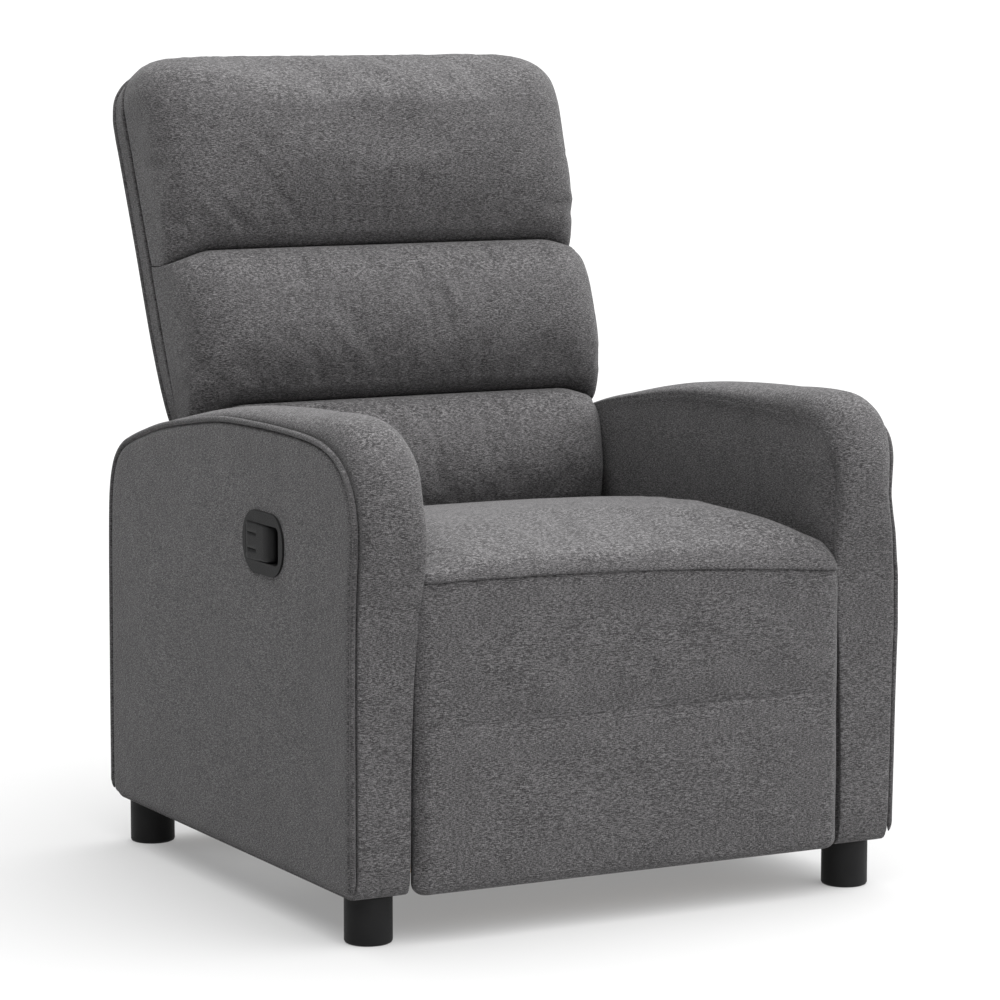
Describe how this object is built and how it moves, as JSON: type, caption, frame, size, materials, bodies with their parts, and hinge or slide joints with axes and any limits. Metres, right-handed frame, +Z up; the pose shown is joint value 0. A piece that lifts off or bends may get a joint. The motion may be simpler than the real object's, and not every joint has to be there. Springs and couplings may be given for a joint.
{
  "type": "recliner armchair",
  "caption": "Single-seat recliner armchair with padded arms, a channelled reclining back and a fold-out footrest.",
  "frame": {"origin": "centre of the whole chair's box, on the floor under the feet", "axes": "+Z up, the sitter faces -Y, +X to the sitter's left"},
  "size_m": [0.732, 0.8634, 0.99],
  "materials": {
    "upholstery_fabric": "dark grey woven linen-look melange",
    "piping_fabric": "self-fabric piping cord",
    "frame_wood": "sawn pine and plywood",
    "foot_plastic": "matt black",
    "handle_plastic": "matt black moulded",
    "painted_steel": "black powder coat",
    "zinc_steel": "zinc plated",
    "spring_steel": "oiled spring wire",
    "roller_nylon": "natural nylon",
    "webbing_tape": "woven jute tape",
    "cable_jacket": "black sheath"
  },
  "bodies": {
    "base": {"left_arm_frame": "frame_wood", "right_arm_frame": "frame_wood", "left_arm_outer_panel": "upholstery_fabric", "right_arm_outer_panel": "upholstery_fabric", "left_arm_wrap": "upholstery_fabric", "right_arm_wrap": "upholstery_fabric", "left_arm_piping": "piping_fabric", "right_arm_piping": "piping_fabric", "front_left_foot": "foot_plastic", "front_right_foot": "foot_plastic", "rear_left_foot": "foot_plastic", "rear_right_foot": "foot_plastic", "foot_studs": "zinc_steel", "front_stretcher": "frame_wood", "rear_stretcher": "frame_wood", "rear_panel": "upholstery_fabric", "left_base_rail": "painted_steel", "right_base_rail": "painted_steel", "base_rail_bolts": "zinc_steel", "handle_bezel": "handle_plastic", "lever_pin": "zinc_steel", "release_cable": "cable_jacket", "cable_anchor": "painted_steel"},
    "lever": {"release_lever": "handle_plastic"},
    "seat": {"left_seat_plate": "painted_steel", "right_seat_plate": "painted_steel", "left_seat_rail": "frame_wood", "right_seat_rail": "frame_wood", "seat_front_rail": "frame_wood", "seat_rear_rail": "frame_wood", "seat_springs": "spring_steel", "seat_cushion": "upholstery_fabric", "glide_rollers": "roller_nylon", "footrest_hinge_pins": "zinc_steel", "torsion_spring": "spring_steel"},
    "back": {"left_back_post": "frame_wood", "right_back_post": "frame_wood", "back_cross_rails": "frame_wood", "back_webbing": "webbing_tape", "head_cushion": "upholstery_fabric", "middle_cushion": "upholstery_fabric", "lumbar_cushion": "upholstery_fabric", "back_rear_panel": "upholstery_fabric", "back_side_bands": "upholstery_fabric", "left_back_bracket": "painted_steel", "right_back_bracket": "painted_steel", "back_pivot_pins": "zinc_steel"},
    "footrest": {"footrest_board": "frame_wood", "chaise_pad": "upholstery_fabric", "ottoman_pad": "upholstery_fabric", "left_footrest_arm": "painted_steel", "right_footrest_arm": "painted_steel", "footrest_bolts": "zinc_steel"},
    "crank_shaft": {"torque_tube": "painted_steel", "left_crank": "painted_steel", "right_crank": "painted_steel"},
    "push_rods": {"left_push_rod": "painted_steel", "right_push_rod": "painted_steel", "rod_rivets": "zinc_steel"}
  },
  "joints": [
    {"name": "lever_pull", "type": "hinge", "parent": "base", "child": "lever", "pos_m": [-0.36, -0.14762, 0.439], "axis": [0, 0, -1], "range_deg": [0, 35], "stiffness_Nm_per_rad": 1, "springref_deg": -11.46},
    {"name": "seat_glide", "type": "slide", "parent": "base", "child": "seat", "axis": [0, -1, 0], "range_m": [0, 0.06]},
    {"name": "back_recline", "type": "hinge", "parent": "seat", "child": "back", "pos_m": [0, 0.1654, 0.32001], "axis": [-1, 0, 0], "range_deg": [0, 38]},
    {"name": "footrest_open", "type": "hinge", "parent": "seat", "child": "footrest", "pos_m": [0, -0.39662, 0.384], "axis": [-1, 0, 0], "range_deg": [0, 90]},
    {"name": "crank_turn", "type": "hinge", "parent": "seat", "child": "crank_shaft", "pos_m": [0, -0.26462, 0.262], "axis": [-1, 0, 0], "range_deg": [0, 90]},
    {"name": "push_rod_turn", "type": "hinge", "parent": "crank_shaft", "child": "push_rods", "pos_m": [0, -0.23962, 0.14], "axis": [-1, 0, 0], "range_deg": [-90, 0]}
  ],
  "couplings": [
    {"joint": "seat_glide", "follows": "back_recline", "m_per_rad": 0.09046},
    {"joint": "crank_turn", "follows": "footrest_open", "ratio": 1},
    {"joint": "push_rod_turn", "follows": "footrest_open", "ratio": -1}
  ]
}
